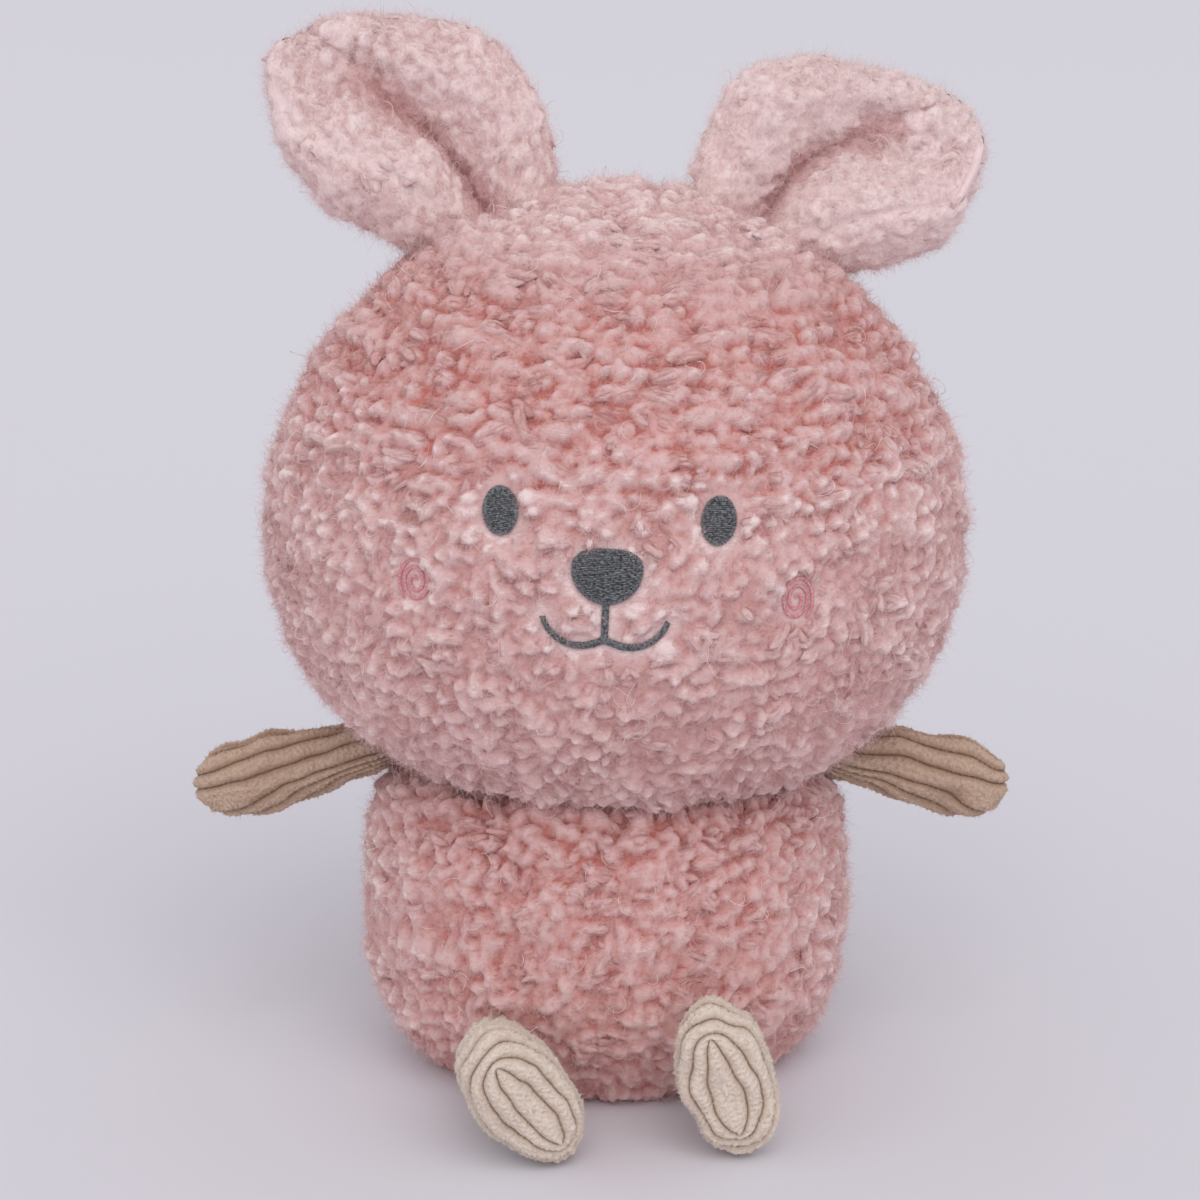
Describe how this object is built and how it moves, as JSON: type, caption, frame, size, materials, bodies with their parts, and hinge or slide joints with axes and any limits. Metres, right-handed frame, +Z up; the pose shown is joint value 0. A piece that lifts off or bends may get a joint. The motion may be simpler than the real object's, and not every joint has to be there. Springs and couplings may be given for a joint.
{
  "type": "stuffed bunny rabbit",
  "caption": "Sitting plush rabbit with a large curly-pile head, folded ears, round body and small corduroy arms and legs; head, ears and limbs flop on sprung seams.",
  "frame": {"origin": "middle of the flat base panel's underside, on the surface that the rabbit sits on", "axes": "+Z up through the neck to the ears; the face looks along -Y; -X is called left"},
  "size_m": [0.2088, 0.1494, 0.2612],
  "materials": {
    "pink_pile": "matte",
    "pink_base_cloth": "matte",
    "tan_corduroy": "matte",
    "cream_corduroy": "matte",
    "white_fibre_stuffing": "matte",
    "pellet_pouch": "matte",
    "pink_seam_thread": "matte",
    "grey_embroidery_thread": "satin",
    "rose_embroidery_thread": "satin"
  },
  "bodies": {
    "torso": {"torso_front_panel": "pink_pile", "torso_back_panel": "pink_pile", "torso_base_panel": "pink_base_cloth", "torso_stuffing": "white_fibre_stuffing", "bean_pouch": "pellet_pouch", "tail_cover": "pink_pile", "tail_stuffing": "white_fibre_stuffing"},
    "neck_seam": {"neck_seam_thread": "pink_seam_thread"},
    "neck": {"neck_stuffing": "white_fibre_stuffing"},
    "head": {"head_front_panel": "pink_pile", "head_back_left_panel": "pink_pile", "head_back_right_panel": "pink_pile", "head_stuffing": "white_fibre_stuffing", "eye_left_embroidery": "grey_embroidery_thread", "eye_right_embroidery": "grey_embroidery_thread", "nose_embroidery": "grey_embroidery_thread", "mouth_embroidery": "grey_embroidery_thread", "cheek_left_embroidery": "rose_embroidery_thread", "cheek_right_embroidery": "rose_embroidery_thread"},
    "ear_left": {"ear_left_front_panel": "pink_pile", "ear_left_back_panel": "pink_pile"},
    "ear_right": {"ear_right_front_panel": "pink_pile", "ear_right_back_panel": "pink_pile"},
    "arm_left": {"arm_left_front_panel": "tan_corduroy", "arm_left_back_panel": "tan_corduroy", "arm_left_stuffing": "white_fibre_stuffing"},
    "arm_right": {"arm_right_front_panel": "tan_corduroy", "arm_right_back_panel": "tan_corduroy", "arm_right_stuffing": "white_fibre_stuffing"},
    "leg_left": {"leg_left_inner_panel": "cream_corduroy", "leg_left_outer_panel": "cream_corduroy", "leg_left_stuffing": "white_fibre_stuffing"},
    "leg_right": {"leg_right_inner_panel": "cream_corduroy", "leg_right_outer_panel": "cream_corduroy", "leg_right_stuffing": "white_fibre_stuffing"}
  },
  "joints": [
    {"name": "neck_twist", "type": "hinge", "parent": "torso", "child": "neck_seam", "pos_m": [0, 0, 0.08], "axis": [0, 0, 1], "range_deg": [-20, 20], "stiffness_Nm_per_rad": 0.3},
    {"name": "neck_nod", "type": "hinge", "parent": "neck_seam", "child": "neck", "pos_m": [0, 0, 0.08], "axis": [1, 0, 0], "range_deg": [-7, 7], "stiffness_Nm_per_rad": 0.8},
    {"name": "neck_tilt", "type": "hinge", "parent": "neck", "child": "head", "pos_m": [0, 0, 0.08], "axis": [0, 1, 0], "range_deg": [-5, 5], "stiffness_Nm_per_rad": 0.8},
    {"name": "ear_left_flop", "type": "hinge", "parent": "head", "child": "ear_left", "pos_m": [-0.03227, 0.004, 0.21213], "axis": [0.866, 0, 0.5], "range_deg": [-15, 15], "stiffness_Nm_per_rad": 0.08},
    {"name": "ear_right_flop", "type": "hinge", "parent": "head", "child": "ear_right", "pos_m": [0.03971, 0.004, 0.21001], "axis": [0.766, 0, -0.6428], "range_deg": [-15, 15], "stiffness_Nm_per_rad": 0.08},
    {"name": "arm_left_raise", "type": "hinge", "parent": "torso", "child": "arm_left", "pos_m": [-0.0595, 0, 0.077], "axis": [0, 1, 0], "range_deg": [-40, 12], "stiffness_Nm_per_rad": 0.05},
    {"name": "arm_right_raise", "type": "hinge", "parent": "torso", "child": "arm_right", "pos_m": [0.0595, 0, 0.077], "axis": [0, -1, 0], "range_deg": [-40, 12], "stiffness_Nm_per_rad": 0.05},
    {"name": "leg_left_raise", "type": "hinge", "parent": "torso", "child": "leg_left", "pos_m": [-0.0325, -0.0465, 0.0175], "axis": [-1, 0, 0], "range_deg": [-15, 30], "stiffness_Nm_per_rad": 0.06},
    {"name": "leg_right_raise", "type": "hinge", "parent": "torso", "child": "leg_right", "pos_m": [0.03, -0.0485, 0.0195], "axis": [-1, 0, 0], "range_deg": [-15, 30], "stiffness_Nm_per_rad": 0.06}
  ]
}
